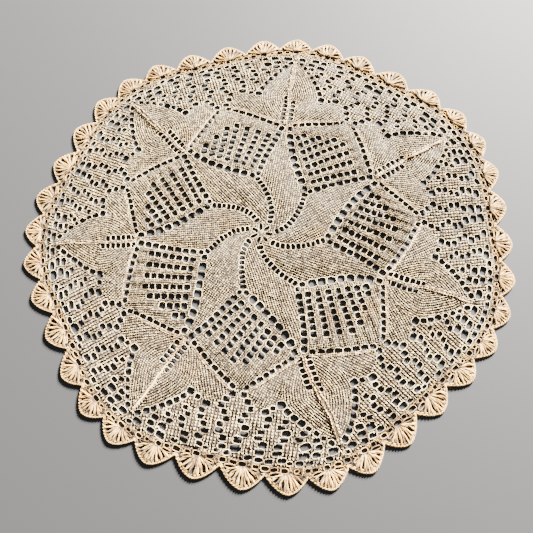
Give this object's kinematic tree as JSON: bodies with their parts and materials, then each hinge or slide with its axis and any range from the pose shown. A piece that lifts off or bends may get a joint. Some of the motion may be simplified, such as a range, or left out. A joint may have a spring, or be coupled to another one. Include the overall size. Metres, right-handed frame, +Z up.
{
  "type": "lace doily",
  "caption": "Round table doily: a knitted openwork ground with a pinwheel middle, net panels and ribbed leaves, inside a crocheted scalloped shell edging.",
  "frame": {"origin": "middle of the doily's bounding box, on the surface it lies on", "axes": "+Z up out of the cloth's right side; +X and +Y along the table, with the pictured view looking towards +Y from above"},
  "size_m": [0.3836, 0.3832, 0.003],
  "materials": {
    "cream_knit": "matt cotton stocking stitch with eyelets",
    "golden_crochet": "matt cotton double crochet with a corded rim"
  },
  "bodies": {
    "root": {"knitted_ground": "cream_knit", "crochet_edging": "golden_crochet"}
  },
  "joints": []
}
